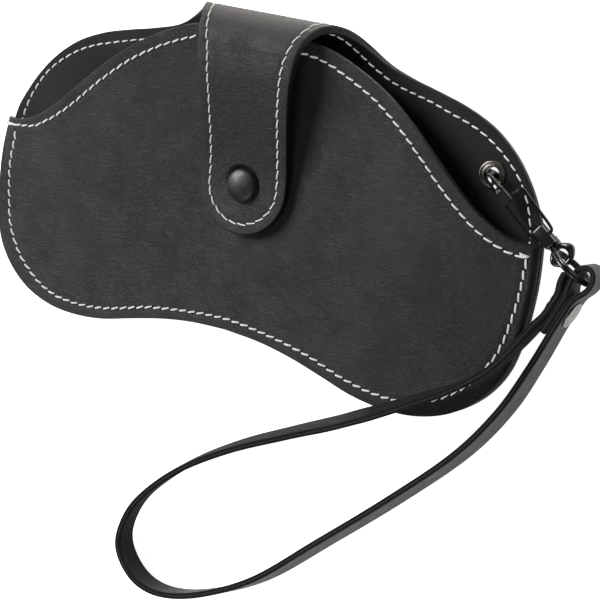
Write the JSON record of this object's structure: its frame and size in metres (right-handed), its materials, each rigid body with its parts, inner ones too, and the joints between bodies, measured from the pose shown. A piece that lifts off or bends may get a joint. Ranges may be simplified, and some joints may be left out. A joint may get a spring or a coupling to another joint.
{
  "type": "soft glasses pouch",
  "caption": "Flat sewn leather glasses pouch with a scooped mouth, a fold-over snap tab, and a leather wrist strap on a swivel hook through a corner grommet.",
  "frame": {"origin": "on the flat back face, under the axis of the snap", "axes": "+X along the pouch towards the grommet, +Y towards the mouth and the tab's fold, +Z out of the front"},
  "size_m": [0.1982, 0.1768, 0.0214],
  "materials": {
    "leather_black": "fine pebble grain with a soft sheen",
    "leather_lining": "matte, fine nap",
    "thread": "waxed thread",
    "snap_metal": "gloss black enamel",
    "hook_metal": "polished black nickel",
    "strap_leather": "smooth grain, raw edges",
    "rivet_metal": "dark antique"
  },
  "bodies": {
    "pouch": {"back_outer": "leather_black", "back_lining": "leather_lining", "front_outer": "leather_black", "front_lining": "leather_lining", "seam_thread": "thread", "mouth_thread": "thread", "shoulder_thread": "thread", "snap_stud": "snap_metal", "snap_post": "snap_metal", "grommet_barrel": "hook_metal", "grommet_washer": "hook_metal"},
    "tab_bend": {"fold_outer": "leather_black", "fold_lining": "leather_lining", "fold_thread": "thread"},
    "tab": {"tab_outer": "leather_black", "tab_lining": "leather_lining", "tab_thread": "thread", "snap_cap": "snap_metal", "snap_socket": "snap_metal", "snap_spring": "snap_metal"},
    "hook": {"hook_body": "hook_metal"},
    "gate": {"hook_gate": "hook_metal"},
    "swivel": {"swivel_eye": "hook_metal"},
    "ring": {"split_ring": "hook_metal"},
    "strap": {"wrist_strap": "strap_leather", "strap_rivet_cap": "rivet_metal", "strap_rivet_post": "rivet_metal"}
  },
  "joints": [
    {"name": "tab_fold_low", "type": "hinge", "parent": "pouch", "child": "tab_bend", "pos_m": [0, 0.04578, 0.00302], "axis": [-1, 0, 0], "range_deg": [0, 90]},
    {"name": "tab_fold_high", "type": "hinge", "parent": "tab_bend", "child": "tab", "pos_m": [0, 0.04578, 0.01758], "axis": [-1, 0, 0], "range_deg": [0, 90]},
    {"name": "hook_turn", "type": "hinge", "parent": "pouch", "child": "hook", "pos_m": [0.072, 0.0182, 0.00375], "axis": [0, 0, 1], "range_deg": [0, 110]},
    {"name": "gate_pivot", "type": "hinge", "parent": "hook", "child": "gate", "pos_m": [0.09028, 0.00526, 0.00615], "axis": [-0.5779, -0.8161, 0], "range_deg": [0, 6]},
    {"name": "swivel_turn", "type": "hinge", "parent": "hook", "child": "swivel", "pos_m": [0.09526, 0.00173, 0.0039], "axis": [0.8161, -0.5779, 0], "range_deg": [-300, 0]},
    {"name": "ring_turn", "type": "hinge", "parent": "swivel", "child": "ring", "pos_m": [0.09526, 0.00173, 0.0039], "axis": [0, 0, 1], "range_deg": [0, 70]},
    {"name": "strap_turn", "type": "hinge", "parent": "ring", "child": "strap", "pos_m": [0.10459, -0.00363, 0.0069], "axis": [0, 0, 1], "range_deg": [0, 55]}
  ],
  "couplings": [
    {"joint": "tab_fold_high", "follows": "tab_fold_low", "ratio": 1}
  ]
}
